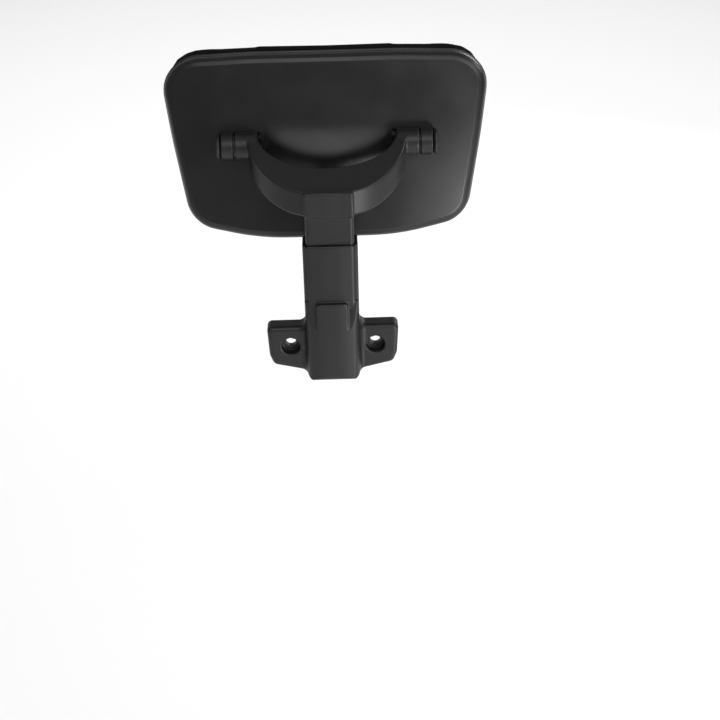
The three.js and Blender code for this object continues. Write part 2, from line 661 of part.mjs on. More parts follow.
// ---------- assembly ----------
function mountGroup() {
  const group = new THREE.Group();
  const { mouldedBlack, springSteel, glideWhite, zincSteel } = MATERIALS;
  group.add(named("mount_bracket", mountBracket(), mouldedBlack));
  group.add(named("detent_clip", detentClip(), springSteel));
  Object.entries(GLIDE.middles).forEach(([level, z]) => {
    const place = [0, -SLEEVE_DEPTH / 2, z];
    group.add(named(`glide_pad_${level}_left`, glidePad(-1), glideWhite, place));
    group.add(named(`glide_pad_${level}_right`, glidePad(1), glideWhite, place));
  });
  group.add(named("travel_stop_screw", travelStopScrew(), zincSteel, [0, 0, STOP_SCREW.z]));
  return group;
}

function yokeGroup() {
  const group = new THREE.Group();
  const { mouldedBlack, zincSteel } = MATERIALS;
  const nutMiddle = FORK_INNER_HALF_WIDTH + 0.4 + NUT.thickness / 2;
  group.add(named("yoke", yoke(), mouldedBlack));
  group.add(named("stem_end_cap", stemEndCap(), mouldedBlack));
  group.add(named("lock_nut_left", lockNut(), zincSteel, [-nutMiddle, PIVOT_Y, PIVOT_Z]));
  group.add(named("lock_nut_right", lockNut(), zincSteel, [nutMiddle, PIVOT_Y, PIVOT_Z]));
  group.add(named("pivot_bolt_left", pivotBolt(-1), zincSteel, [0, PIVOT_Y, PIVOT_Z]));
  group.add(named("pivot_bolt_right", pivotBolt(1), zincSteel, [0, PIVOT_Y, PIVOT_Z]));
  return group;
}

function padGroup() {
  const group = new THREE.Group();
  const { shellBlack, mouldedBlack, boardGrey, foamGrey, coverBlack, zincSteel } = MATERIALS;
  group.position.set(0, PIVOT_Y, PIVOT_Z);
  group.rotation.x = THREE.MathUtils.degToRad(PAD_TILT);
  group.add(named("rear_shell", rearShell(), shellBlack));
  group.add(named("hinge_knuckle_left", hingeKnuckle(-1), mouldedBlack));
  group.add(named("hinge_knuckle_right", hingeKnuckle(1), mouldedBlack));
  KNUCKLE_SCREWS.forEach(({ name, x, z }) => group.add(named(name, knuckleScrew(), zincSteel, [x, 0, z])));
  group.add(named("hinge_cap_left", hingeCap(-1), mouldedBlack));
  group.add(named("hinge_cap_right", hingeCap(1), mouldedBlack));
  group.add(named("friction_washer_left", frictionWasher(), mouldedBlack, [-BARREL_SPLIT - 0.05, 0, 0]));
  group.add(named("friction_washer_right", frictionWasher(), mouldedBlack, [BARREL_SPLIT + 0.05, 0, 0]));
  group.add(named("cushion_board", cushionBoard(), boardGrey));
  CLIP_PLACES.forEach(([x, z], i) =>
    group.add(named(`board_clip_${i + 1}`, boardClip(), mouldedBlack, [x, wrapped(x, z), z])),
  );
  group.add(named("foam_core", foamCore(), foamGrey));
  group.add(named("fabric_cover", fabricCover(), coverBlack));
  return group;
}

const headrest = new THREE.Group();
headrest.add(mountGroup(), yokeGroup(), padGroup());

export default headrest;
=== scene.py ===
"""Looks for the screw-on chair headrest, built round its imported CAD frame.

Axes: +X is the sitter's right, +Y the way the sitter faces, +Z up. The origin lies between the two screw
holes, on the face that bears on the chair. Shapes are worked out in millimetres and turn into metres when a
mesh is made. The pad has axes of its own about the tilt pivot: across it, towards the sitter, and up it.
"""

import json
import math
from itertools import product

import bpy
import numpy as np
from mathutils import Matrix, Vector
from mathutils.bvhtree import BVHTree


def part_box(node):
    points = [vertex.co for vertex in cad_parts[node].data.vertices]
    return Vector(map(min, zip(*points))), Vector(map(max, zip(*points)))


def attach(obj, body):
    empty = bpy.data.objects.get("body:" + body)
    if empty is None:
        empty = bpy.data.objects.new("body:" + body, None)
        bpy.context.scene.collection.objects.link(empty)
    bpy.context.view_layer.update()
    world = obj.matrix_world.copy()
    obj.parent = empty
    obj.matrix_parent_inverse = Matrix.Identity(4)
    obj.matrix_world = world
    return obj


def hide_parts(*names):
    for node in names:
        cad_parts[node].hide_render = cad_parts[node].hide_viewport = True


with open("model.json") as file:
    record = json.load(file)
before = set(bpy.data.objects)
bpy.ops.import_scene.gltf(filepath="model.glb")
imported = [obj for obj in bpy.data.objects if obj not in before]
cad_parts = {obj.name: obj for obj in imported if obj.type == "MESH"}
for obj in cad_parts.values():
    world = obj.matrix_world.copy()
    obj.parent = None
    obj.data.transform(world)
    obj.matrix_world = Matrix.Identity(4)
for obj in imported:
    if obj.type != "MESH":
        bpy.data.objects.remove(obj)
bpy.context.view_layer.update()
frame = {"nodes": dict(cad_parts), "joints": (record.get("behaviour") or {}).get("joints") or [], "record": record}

MM = 0.001


# ---------- driving sizes, in millimetres ----------
def node_box(node):
    """Lowest and highest corner of a CAD node."""
    low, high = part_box(node)
    return np.array(low) / MM, np.array(high) / MM


BRACKET_LOW, BRACKET_HIGH = node_box("mount_bracket")
YOKE_LOW, YOKE_HIGH = node_box("yoke")

# mount
SCREW_X = 36.3
SCREW_HOLE_RADIUS = 4.5
COUNTERBORE_RADIUS = 8
COUNTERBORE_DEPTH = 8
WING_HALF_WIDTH = BRACKET_HIGH[0]
WING_THICKNESS = 15
WING_EDGE = 3.6
WING_FILLET = 6
WING_TOP = 18.5
WING_BOTTOM = -24.5
SLEEVE_HALF_WIDTH = 22.8
SLEEVE_DEPTH = 23
SLEEVE_TOP = BRACKET_HIGH[2]
BASE_BOTTOM = BRACKET_LOW[2]
BASE_DEPTH = -BRACKET_LOW[1]
LATCH_HALF_WIDTH = 13.3
LATCH_BOTTOM = 0
LATCH_TOP = 46
BASE_SHOULDER = 16  # above this height the base thins
WALL = 2.6
PAST = 5  # how far a helping shape or corner runs on past the shape that it trims or joins

# stem and fork
STEM_HALF_WIDTH = 19.9
STEM_BACK = -20.1
STEM_FRONT = -2.9
TILT_JOINT = next(joint for joint in frame["joints"] if joint["name"] == "head_tilt")
PIVOT = np.array(TILT_JOINT["pos_m"]) / MM
FORK_RADIUS = PIVOT[1] - YOKE_LOW[1]
FORK_INNER_HALF_WIDTH = 57.5
FORK_INNER_DEPTH = 37
FORK_BOTTOM = 122
FORK_TOP = 143.5
BARREL_RADIUS = 11
BARREL_END = YOKE_HIGH[0]
BARREL_EDGE = 0.7
NUT_POCKET_RADIUS = 6.1
NUT_POCKET_DEPTH = 5.8

# pad, in its own axes
PAD_TILT = math.radians(-11)
# corners of the pad's right half as (across, up, radius)
PAD_HALF_OUTLINE = [
    (60, -84.5, 220),
    (119.3, -72, 29),
    (131.5, 3, 900),
    (140.3, 73.2, 33),
    (60, 77, 600),
]
SHELL_SETBACK = 4
WRAP_RADIUS = 800
ARCH_RADIUS = 1100
RIM_DEPTH = 14
SHELL_THICKNESS = 2.5
TOP_DROP = 2.6  # how far the shell's top edge is lowered from the pad's outline
TOP_DROP_FROM = 40  # the height at which the lowering starts
TOP_DROP_TO = 74  # and the one at which it is complete
BULGE_HEIGHT = 7
BULGE_HALF_WIDTH = 52
BULGE_TOP = 24
BULGE_CREST = -12
BULGE_FOOT = -48
BULGE_LIFT = 17
POCKET_MIDDLE = 73.8
POCKET_HALF_WIDTH = 19.3
POCKET_RADIUS = 11.6
POCKET_FLOOR = 12.3
CUP_WALL = 2.2
CUP_SUNK = 0.8  # how deep in the shell's wall a pocket's cup begins
FOOT_HALF_HEIGHT = 10.6
KNUCKLE_INNER = 77.7
KNUCKLE_OUTER = 87.6
CAP_INNER = 87.9
CAP_OUTER = 92.6
CAP_DOME_RADIUS = 60

# cushion, in the pad's axes; depths are measured from the wrapped back
CUSHION_THICKNESS = 31
COVER_BACK = RIM_DEPTH - 1.3
COVER_BACK_INSET = 4.6
COVER_FRONT_INSET = 16
COVER_SLACK = 3  # how far the front starts below its crown, before the cover is blown up
COVER_RISE = 3  # how far the cover is raised along the pad's top edge, before it is blown up
COVER_RISE_FROM = 45  # the height at which the raising starts
COVER_RISE_TO = 70  # and the one at which it is complete
FOAM_INSET = 7
SEAM_INSET = 4.6
SEAM_DEPTH = RIM_DEPTH + 17
PIPING_RADIUS = 1.4
STITCH_INSET = SEAM_INSET + 5.5
STITCH_PITCH = 4.6
STITCH_LENGTH = 3.2
STITCH_RADIUS = 0.42
CLOTH_VOXEL = 4.0
CLOTH_CAP = 5.0  # the furthest that the simulation may move a point

# cell sizes of the meshed forms
NET_CELL = 0.9
KNUCKLE_CELL = 0.6
CAP_CELL = 0.5


# ---------- outlines ----------
def unit(vector):
    return vector / np.linalg.norm(vector)


def rounded(corners, arc_points=8):
    """A closed outline through corners given as (across, up, radius), each rounded by a true arc."""
    places = [np.array(corner[:2], float) for corner in corners]
    outline = []
    for i, (_, _, radius) in enumerate(corners):
        here = places[i]
        back = unit(places[i - 1] - here)
        on = unit(places[(i + 1) % len(places)] - here)
        if radius == 0:
            outline.append(here)
            continue
        half_turn = (math.pi - math.acos(np.clip(back @ on, -1, 1))) / 2
        centre = here + unit(back + on) * radius / math.cos(half_turn)
        first = here + back * radius * math.tan(half_turn) - centre
        last = here + on * radius * math.tan(half_turn) - centre
        start = math.atan2(first[1], first[0])
        sweep = math.atan2(first[0] * last[1] - first[1] * last[0], first @ last)
        for angle in start + sweep * np.linspace(0, 1, arc_points):
            outline.append(centre + radius * np.array([math.cos(angle), math.sin(angle)]))
    return np.array(outline)


def mirrored(half):
    """The right half's corners, then the same on the left."""
    return [*half, *[(-across, up, radius) for across, up, radius in reversed(half)]]


def rectangle(across_low, across_high, up_low, up_high, radius=0):
    return [
        (across_low, up_low, radius),
        (across_high, up_low, radius),
        (across_high, up_high, radius),
        (across_low, up_high, radius),
    ]


def evenly(line, count):
    """The closed line again as count points, equally far apart along it."""
    closed = np.vstack([line, line[:1]])
    along = np.concatenate([[0], np.cumsum(np.linalg.norm(np.diff(closed, axis=0), axis=1))])
    wanted = np.arange(count) / count * along[-1]
    return np.stack([np.interp(wanted, along, column) for column in closed.T], axis=1)


def inset(outline, distance):
    """The outline moved in by distance along its own normals."""
    tangent = np.roll(outline, -1, axis=0) - np.roll(outline, 1, axis=0)
    tangent /= np.linalg.norm(tangent, axis=1)[:, None]
    return outline + np.stack([-tangent[:, 1], tangent[:, 0]], axis=1) * distance


def eased(share):
    """Runs from 0 to 1 with a level start and end."""
    share = np.clip(share, 0, 1)
    return share * share * (3 - 2 * share)


# ---------- moulded forms, by distance ----------
# A form is a function of x, y, z that gives the distance to its surface, negative inside.
def polygon_distance(u, v, outline):
    """Distance to a closed outline in a plane, negative inside."""
    nearest = np.inf
    inside = False
    for (u0, v0), (u1, v1) in zip(outline, np.roll(outline, -1, axis=0)):
        du, dv = u1 - u0, v1 - v0
        along = np.clip(((u - u0) * du + (v - v0) * dv) / (du * du + dv * dv), 0, 1)
        nearest = np.minimum(nearest, (u - u0 - along * du) ** 2 + (v - v0 - along * dv) ** 2)
        if dv != 0:
            inside ^= ((v0 > v) != (v1 > v)) & (u < u0 + (v - v0) * du / dv)
    return np.where(inside, -1, 1) * np.sqrt(nearest)


def slab(across, along, edge):
    """What lies inside both distances, with its convex edges rounded by edge."""
    across = across + edge
    along = along + edge
    outside = np.hypot(np.maximum(across, 0), np.maximum(along, 0))
    return np.minimum(np.maximum(across, along), 0) + outside - edge


PRISM_AXES = {"x": (1, 2, 0), "y": (0, 2, 1), "z": (0, 1, 2)}


def prism(axis, corners, start, end, edge=0.0, arc_points=8):
    """The outline lies across the axis and runs along it from start to end; edge rounds its two ends."""
    outline = rounded(corners, arc_points)

    def distance(*place):
        u, v, w = (place[i] for i in PRISM_AXES[axis])
        along = np.abs(w - (start + end) / 2) - (end - start) / 2
        return slab(polygon_distance(u, v, outline), along, edge)

    return distance


def rod(axis, radius, start, end, middle, edge=0.0):
    """A round bar along the axis, through middle, with its two ends rounded by edge."""

    def distance(*place):
        u, v, w = (place[i] for i in PRISM_AXES[axis])
        along = np.abs(w - (start + end) / 2) - (end - start) / 2
        return slab(np.hypot(u - middle[0], v - middle[1]) - radius, along, edge)

    return distance


def join(first, second, fillet=0.0):
    """Both forms as one, with a fillet of that radius where they meet."""

    def distance(*place):
        a, b = first(*place), second(*place)
        corner = np.hypot(np.maximum(fillet - a, 0), np.maximum(fillet - b, 0))
        return np.maximum(fillet, np.minimum(a, b)) - corner

    return distance


def meet(first, second, edge=0.0):
    """What both forms share, with new edges rounded to that radius."""

    def distance(*place):
        a, b = first(*place), second(*place)
        corner = np.hypot(np.maximum(edge + a, 0), np.maximum(edge + b, 0))
        return np.minimum(-edge, np.maximum(a, b)) + corner

    return distance


def cut(body, tool, edge=0.0):
    return meet(body, lambda *place: -tool(*place), edge)


def both_sides(form):
    return lambda x, y, z: form(np.abs(x), y, z)


NET_MARGIN = 2  # cells of free space round a form


def surface_net(form, low, high, cell):
    """A closed quad mesh round the form: one point in each cell that its surface passes through."""
    low = np.array(low, float) - NET_MARGIN * cell
    counts = np.ceil((np.array(high) + NET_MARGIN * cell - low) / cell).astype(int) + 1
    x, y, z = (low[i] + cell * np.arange(counts[i]) for i in range(3))
    inside = np.broadcast_to(form(x[:, None, None], y[None, :, None], z[None, None, :]), counts) < 0
    filled = sum(
        inside[i : counts[0] - 1 + i, j : counts[1] - 1 + j, k : counts[2] - 1 + k].astype(np.int8)
        for i, j, k in product((0, 1), repeat=3)
    )
    mixed = (filled > 0) & (filled < 8)
    number = np.full(mixed.shape, -1)
    number[mixed] = np.arange(mixed.sum())
    points = low + (np.argwhere(mixed) + 0.5) * cell
    faces = []
    for axis in range(3):
        order = (axis, (axis + 1) % 3, (axis + 2) % 3)
        turned = np.transpose(inside, order)[:, 1:-1, 1:-1]
        near = np.transpose(number, order)
        crossed = turned[:-1] != turned[1:]
        around = (near[:, :-1, :-1], near[:, 1:, :-1], near[:, 1:, 1:], near[:, :-1, 1:])
        quads = np.stack([part[crossed] for part in around], axis=1)
        leaves = turned[:-1][crossed]
        faces.append(np.where(leaves[:, None], quads, quads[:, ::-1]))
    faces = np.vstack(faces)
    return settle(form, points, faces, cell), faces


def settle(form, points, faces, cell):
    """Evens the points out along the surface and draws each one onto it."""
    one, other = faces.ravel(), np.roll(faces, -1, axis=1).ravel()
    beside = np.bincount(one, minlength=len(points)).astype(float)
    for relax in (0.6, 0.5, 0.4):
        points = points + onto_surface(form, points, cell)
        sums = [np.bincount(one, points[other, i], len(points)) for i in range(3)]
        middle = np.stack([total / beside for total in sums], axis=1)
        points = points + relax * (middle - points)
    for _ in range(2):
        points = points + onto_surface(form, points, cell)
    return points


def onto_surface(form, points, most, nudge=0.02):
    """The step from each point to the form's surface, for a distance of up to most."""
    value = form(*points.T)
    moved = [form(*(points + nudge * axis).T) for axis in np.eye(3)]
    slope = np.stack([(there - value) / nudge for there in moved], axis=1)
    steep = np.maximum((slope**2).sum(axis=1), 0.25)
    return -slope * (np.clip(value, -most, most) / steep)[:, None]


# ---------- pieces ----------
PAD_PLACE = Matrix.Translation(PIVOT) @ Matrix.Rotation(PAD_TILT, 4, "X")


def placed(points, place=None):
    """Points in millimetres, moved from a sub-part's own axes to the frame's."""
    if place is None:
        return np.asarray(points, float)
    turn = np.array(place.to_3x3())
    return np.asarray(points, float) @ turn.T + np.array(place.translation)


def new_piece(name, points, faces, place=None):
    """A new object from points in millimetres, in the axes that place gives."""
    mesh = bpy.data.meshes.new(name)
    mesh.from_pydata(placed(points, place) * MM, [], [list(face) for face in faces])
    mesh.shade_smooth()
    mesh.update()
    piece = bpy.data.objects.new(name, mesh)
    bpy.context.scene.collection.objects.link(piece)
    return piece


def finish_piece(piece, body, material, slot, *nodes):
    """Gives a piece its material, the body it rides on, and the CAD nodes it stands for. The slot is not used."""
    piece.data.materials.clear()
    piece.data.materials.append(material)
    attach(piece, body)
    if nodes:
        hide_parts(*nodes)


def apply_modifiers(piece):
    """Turns what the modifiers make of the piece into its own mesh."""
    graph = bpy.context.evaluated_depsgraph_get()
    graph.update()
    done = bpy.data.meshes.new_from_object(piece.evaluated_get(graph))
    piece.modifiers.clear()
    piece.data = done


def boolean(piece, tool, operation):
    """Joins the tool to the piece or cuts it out, and removes the tool."""
    modifier = piece.modifiers.new(operation.lower(), "BOOLEAN")
    modifier.operation = operation
    modifier.object = tool
    modifier.solver = "MANIFOLD"
    apply_modifiers(piece)
    bpy.data.objects.remove(tool)


# ---------- mount ----------
# The mount's shapes run a little past the chair's face at depth 0, and bracket_form trims them all there.
BEHIND_FACE = 6


def wings_form():
    outline = mirrored([
        (24.5, WING_BOTTOM, 6),
        (51.5, -18, 6),
        (54.9, -9, 8),
        (WING_HALF_WIDTH, WING_TOP, 4.5),
    ])
    return prism("y", outline, -WING_THICKNESS, WING_THICKNESS, edge=WING_EDGE)


BASE_HALF_WIDTH = SLEEVE_HALF_WIDTH - 0.1
BASE_PLAN = mirrored([
    (9, -BASE_DEPTH, 60),
    (BASE_HALF_WIDTH - 3, 2 - BASE_DEPTH, 6),
    (BASE_HALF_WIDTH, 7 - BASE_DEPTH, 5),
    (BASE_HALF_WIDTH, BEHIND_FACE, 0),
])


def base_form():
    """The base thins as it rises, until it is lost in the column."""
    side = [
        (BEHIND_FACE, BASE_BOTTOM, 0),
        (BEHIND_FACE, LATCH_TOP, 0),
        (1.5 - SLEEVE_DEPTH, LATCH_TOP, 0),
        (-BASE_DEPTH, BASE_SHOULDER, 30),
        (-BASE_DEPTH, BASE_BOTTOM, 5),
    ]
    front = rectangle(-BASE_HALF_WIDTH, BASE_HALF_WIDTH, BASE_BOTTOM, LATCH_TOP + 2 * PAST, 7)
    from_side = prism("x", side, -SLEEVE_HALF_WIDTH - PAST, SLEEVE_HALF_WIDTH + PAST, arc_points=16)
    from_above = prism("z", BASE_PLAN, BASE_BOTTOM, LATCH_TOP, arc_points=16)
    from_front = prism("y", front, -BASE_DEPTH, BEHIND_FACE)
    return meet(from_side, meet(from_above, from_front))


def column_form():
    """The sleeve's outside, slightly crowned in front and chamfered at both sides."""
    plan = mirrored([
        (7, -SLEEVE_DEPTH, 80),
        (SLEEVE_HALF_WIDTH - 4.4, -SLEEVE_DEPTH + 0.9, 3),
        (SLEEVE_HALF_WIDTH, -SLEEVE_DEPTH + 4.6, 2.5),
        (SLEEVE_HALF_WIDTH, 4, 0),
    ])
    return prism("z", plan, 0, SLEEVE_TOP, edge=1.5)


def latch_form():
    """The housing keeps the base's full depth to its top, so that it is lost in the base below."""
    front = rectangle(-LATCH_HALF_WIDTH, LATCH_HALF_WIDTH, LATCH_BOTTOM, LATCH_TOP, 3)
    from_above = prism("z", BASE_PLAN, LATCH_BOTTOM, LATCH_TOP, arc_points=16)
    return meet(from_above, prism("y", front, -BASE_DEPTH - PAST, 4 - SLEEVE_DEPTH), edge=0.9)


def screw_room():
    through = rod("y", SCREW_HOLE_RADIUS, -WING_THICKNESS - PAST, PAST, (SCREW_X, 0))
    shoulder = COUNTERBORE_DEPTH - WING_THICKNESS
    head = rod("y", COUNTERBORE_RADIUS, -WING_THICKNESS - PAST, shoulder, (SCREW_X, 0))
    return both_sides(join(through, head))


def bracket_form():
    body = join(wings_form(), join(base_form(), column_form(), fillet=0.5), fillet=WING_FILLET)
    body = join(body, latch_form())
    chair_side = lambda x, y, z: y + 0 * x
    body = meet(body, chair_side, edge=0.6)
    inner_half = SLEEVE_HALF_WIDTH - WALL
    cavity_plan = rectangle(-inner_half, inner_half, -SLEEVE_DEPTH + WALL, -WALL)
    body = cut(body, prism("z", cavity_plan, BASE_BOTTOM + 3, SLEEVE_TOP + PAST), edge=0.5)
    return cut(body, screw_room(), edge=0.3)


# ---------- yoke ----------
def crescent(x, y, z):
    """The fork seen from above: a thick crescent round the pivot, with straight ends past it."""
    behind = np.minimum(y - PIVOT[1], 0)
    outer = np.hypot(x, behind) - FORK_RADIUS
    across, deep = x / FORK_INNER_HALF_WIDTH, behind / FORK_INNER_DEPTH
    share = np.hypot(across, deep)
    near_zero = 0.01
    slope = np.hypot(across / FORK_INNER_HALF_WIDTH, deep / FORK_INNER_DEPTH) / np.maximum(share, near_zero)
    inner = (share - 1) / np.maximum(slope, near_zero)
    return np.maximum(outer, -inner) + 0 * z


def round_pivot(radius, degrees):
    """Corners on a circle round the tilt pivot, seen from the side."""
    return [
        (PIVOT[1] + radius * math.cos(angle), PIVOT[2] + radius * math.sin(angle), 0)
        for angle in np.radians(degrees)
    ]


def fork_form():
    """The crescent, seen from the side as a band that widens a little and ends round the pivot."""
    back = PIVOT[1] - FORK_RADIUS
    side = [
        (back - PAST, FORK_BOTTOM - 0.6, 0),
        (back + 8, FORK_BOTTOM + 1.5, 30),
        *round_pivot(BARREL_RADIUS, np.linspace(-90, 90, 17)),
        (back + 8, FORK_TOP + 1.5, 30),
        (back - PAST, FORK_TOP - 0.6, 0),
    ]
    band = prism("x", side, -FORK_RADIUS - PAST, FORK_RADIUS + PAST)
    facet_plan = rectangle(-STEM_HALF_WIDTH, STEM_HALF_WIDTH, back, back + 12, 1.2)
    facet = prism("z", facet_plan, FORK_BOTTOM, FORK_TOP, edge=1.2)
    return join(meet(crescent, band, edge=1.5), facet, fillet=0.6)


def stem_form():
    plan = mirrored([
        (STEM_HALF_WIDTH - 2, STEM_BACK, 0.9),
        (STEM_HALF_WIDTH, STEM_BACK + 2, 0.9),
        (STEM_HALF_WIDTH, STEM_FRONT, 1.2),
    ])
    return prism("z", plan, 0, FORK_BOTTOM + PAST)


def yoke_form():
    body = join(fork_form(), stem_form(), fillet=0.8)
    start = FORK_INNER_HALF_WIDTH + 1
    barrel = rod("x", BARREL_RADIUS, start, BARREL_END, (PIVOT[1], PIVOT[2]), edge=BARREL_EDGE)
    body = join(body, both_sides(barrel), fillet=1.2)
    hexagon = round_pivot(NUT_POCKET_RADIUS, np.arange(0, 360, 60))
    floor = FORK_INNER_HALF_WIDTH + NUT_POCKET_DEPTH
    pocket = prism("x", hexagon, FORK_INNER_HALF_WIDTH - PAST, floor)
    return cut(body, both_sides(pocket), edge=0.4)


# ---------- pad, in its own axes ----------
def pad_outline(count):
    return evenly(rounded(mirrored(PAD_HALF_OUTLINE), arc_points=32), count)


def wrapped(x, z):
    """Depth of the pad's curved back at a place on it, before the rim's own shape."""
    return SHELL_SETBACK + x**2 / (2 * WRAP_RADIUS) + z**2 / (2 * ARCH_RADIUS)


def bulge(x, z):
    """The swelling between the fork's arms: it ramps down to a curved crest, then falls more gently."""
    side = np.minimum((x / BULGE_HALF_WIDTH) ** 2, 1)
    crest = BULGE_CREST + BULGE_LIFT * side
    ramp = np.clip((BULGE_TOP - z) / (BULGE_TOP - crest), 0, 1)
    fall = eased((crest - z) / (crest - BULGE_FOOT))
    return BULGE_HEIGHT * (1 - side) ** 0.9 * ramp**3 * (4 - 3 * ramp) * (1 - fall)


def shell_back(x, z):
    return wrapped(x, z) - bulge(x, z)


def ring_points(outline, rings):
    """Rings are (inset, fraction, depth): the outline moved in, scaled towards the middle, at that depth."""
    points = []
    for distance, fraction, depth in rings:
        across = inset(outline, distance) * fraction
        points.append(np.stack([across[:, 0], depth(across[:, 0], across[:, 1]), across[:, 1]], axis=1))
    return points


def ring_form(outline, rings):
    """A closed form whose rings follow one outline, from the middle of its back to that of its front."""
    rows = ring_points(outline, rings)
    around = len(outline)
    poles = [row.mean(axis=0, keepdims=True) for row in (rows[0], rows[-1])]
    points = np.vstack([poles[0], *rows, poles[1]])
    column = np.arange(around)
    beside = (column + 1) % around
    faces = [[0, 1 + a, 1 + b] for a, b in zip(column, beside)]
    for row in range(len(rows) - 1):
        start, end = 1 + row * around, 1 + (row + 1) * around
        faces += [[start + a, end + a, end + b, start + b] for a, b in zip(column, beside)]
    last = 1 + (len(rows) - 1) * around
    faces += [[last + a, len(points) - 1, last + b] for a, b in zip(column, beside)]
    return points, faces


def raised(depth):
    """A surface that runs at that depth above the pad's curved back."""
    return lambda x, z: wrapped(x, z) + depth


def rim_rings(corners):
    """Rings at full size through profile corners given as (inset, depth, radius)."""
    (first, first_depth, _), (last, last_depth, _) = corners[0], corners[-1]
    loop = rounded([(first + PAST, first_depth, 0), *corners, (last + PAST, last_depth, 0)], 6)
    return [(distance, 1, raised(depth)) for distance, depth in loop[1:-1]]


# from the back over the bevel, groove and lip to the inside; corners as (inset, depth, radius)
SHELL_PROFILE = [
    (8, 0, 2.4),
    (4.4, 1.1, 4),
    (2.2, 3.4, 2.2),
    (1.3, 6.8, 6),
    (1.2, 10.3, 0.25),
    (1.9, 10.7, 0.25),
    (0.3, 11.1, 0.3),
    (0, 11.8, 0.5),
    (0.1, RIM_DEPTH, 0.5),
    (2.6, RIM_DEPTH, 0.4),
    (3.4, 7, 1),
    (6, 3.4, 1),
]


def shell_dish():
    """The shell without its pockets: the bulged back, the rim and the inside."""
    inside = lambda x, z: shell_back(x, z) + SHELL_THICKNESS
    spread = np.linspace(0.02, 1, 72)
    rings = [
        *[(SHELL_PROFILE[0][0], fraction, shell_back) for fraction in spread[:-1]],
        *rim_rings(SHELL_PROFILE),
        *[(10, fraction, inside) for fraction in spread[::-5]],
    ]
    points, faces = ring_form(pad_outline(260), rings)
    # the top edge is lowered, so that the cushion shows above it as a dark line
    points[:, 2] -= TOP_DROP * eased((points[:, 2] - TOP_DROP_FROM) / (TOP_DROP_TO - TOP_DROP_FROM))
    return points, faces


def bar_section(radius, back):
    """The part of a round bar that lies beyond the depth back: points as (depth, up)."""
    reach = math.acos(back / radius)
    return [(radius * math.cos(a), radius * math.sin(a)) for a in np.linspace(reach, -reach, 49)]


def trough(side, half_width, section):
    """A solid along one barrel between two end sections; section gives the one at a place across."""
    ends = [side * POCKET_MIDDLE - half_width, side * POCKET_MIDDLE + half_width]
    points = [(across, depth, up) for across in ends for depth, up in section(across)]
    around = len(points) // 2
    faces = [list(range(around)), list(range(2 * around - 1, around - 1, -1))]
    faces += [[i, around + i, around + (i + 1) % around, (i + 1) % around] for i in range(around)]
    return points, faces


def cup_section(across):
    return bar_section(POCKET_RADIUS + CUP_WALL, wrapped(across, 0) + CUP_SUNK)


def hollow_section(across):
    """The same at every place across: round towards the sitter, and open far out behind the shell."""
    far_behind = -30
    return [(far_behind, POCKET_RADIUS), *bar_section(POCKET_RADIUS, 0), (far_behind, -POCKET_RADIUS)]


def shell_moulding():
    """The dish with a cup standing inwards round each barrel, and the barrel's room cut out of both."""
    shell = new_piece("shell_moulding", *shell_dish(), PAD_PLACE)
    for side in (-1, 1):
        cup = trough(side, POCKET_HALF_WIDTH + CUP_WALL, cup_section)
        boolean(shell, new_piece("pocket_cup", *cup, PAD_PLACE), "UNION")
    for side in (-1, 1):
        hollow = trough(side, POCKET_HALF_WIDTH, hollow_section)
        boolean(shell, new_piece("pocket_hollow", *hollow, PAD_PLACE), "DIFFERENCE")
    shell.data.shade_smooth()
    shell.data.set_sharp_from_angle(angle=math.radians(40))
    return shell


def knuckle_form():
    """The outer barrel with the foot that is screwed to the shell."""
    barrel = rod("x", BARREL_RADIUS, KNUCKLE_INNER, KNUCKLE_OUTER, (0, 0), edge=BARREL_EDGE)
    front = rectangle(KNUCKLE_INNER, KNUCKLE_OUTER, -FOOT_HALF_HEIGHT, FOOT_HALF_HEIGHT, 0.6)
    foot = prism("y", front, 2.9, POCKET_FLOOR - 0.3, edge=0.3)
    return join(barrel, foot, fillet=1.5)


def cap_dome(x, y, z):
    from_middle = x - CAP_OUTER + CAP_DOME_RADIUS
    return np.sqrt(from_middle**2 + y * y + z * z) - CAP_DOME_RADIUS


def cap_form():
    disc = rod("x", BARREL_RADIUS, CAP_INNER, CAP_OUTER, (0, 0), edge=3.6)
    return meet(disc, cap_dome, edge=0.8)


def mirror_net(net, side):
    """The net itself on the right, or its mirror image on the left."""
    points, faces = net
    if side > 0:
        return points, faces
    return points * (-1, 1, 1), faces[:, ::-1]


# ---------- cushion ----------
def crown(x, z):
    """The sitter's side: a soft crown that falls away to the pad's edge."""
    return wrapped(x, z) + RIM_DEPTH + CUSHION_THICKNESS - 5 * (x / 130) ** 2 - 7 * (z / 80) ** 2


def sunk_crown(under):
    """A surface that runs that far below the crown."""
    return lambda x, z: crown(x, z) - under


def cushion_start():
    """The cover before it is blown up: a little smaller than the finished one."""
    side = [
        (COVER_BACK_INSET, COVER_BACK),
        (3, RIM_DEPTH - 0.6),
        (1.6, RIM_DEPTH + 2.5),
        (1, RIM_DEPTH + 6.5),
        (1.2, RIM_DEPTH + 12),
        (SEAM_INSET + 0.6, SEAM_DEPTH),
    ]
    back, front = raised(COVER_BACK), sunk_crown(COVER_SLACK)
    points, faces = ring_form(pad_outline(160), [
        *[(COVER_BACK_INSET, fraction, back) for fraction in np.linspace(0.1, 0.9, 6)],
        *[(distance, 1, raised(depth)) for distance, depth in side],
        *[(COVER_FRONT_INSET, fraction, front) for fraction in np.linspace(1, 0.1, 10)],
    ])
    # past the shell's lip the cover is raised along the top edge, to stand above the lip
    past_lip = points[:, 1] > wrapped(points[:, 0], points[:, 2]) + RIM_DEPTH + 2
    share = np.clip((points[:, 2] - COVER_RISE_FROM) / (COVER_RISE_TO - COVER_RISE_FROM), 0, 1)
    points[:, 2] += past_lip * COVER_RISE * share
    return points, faces


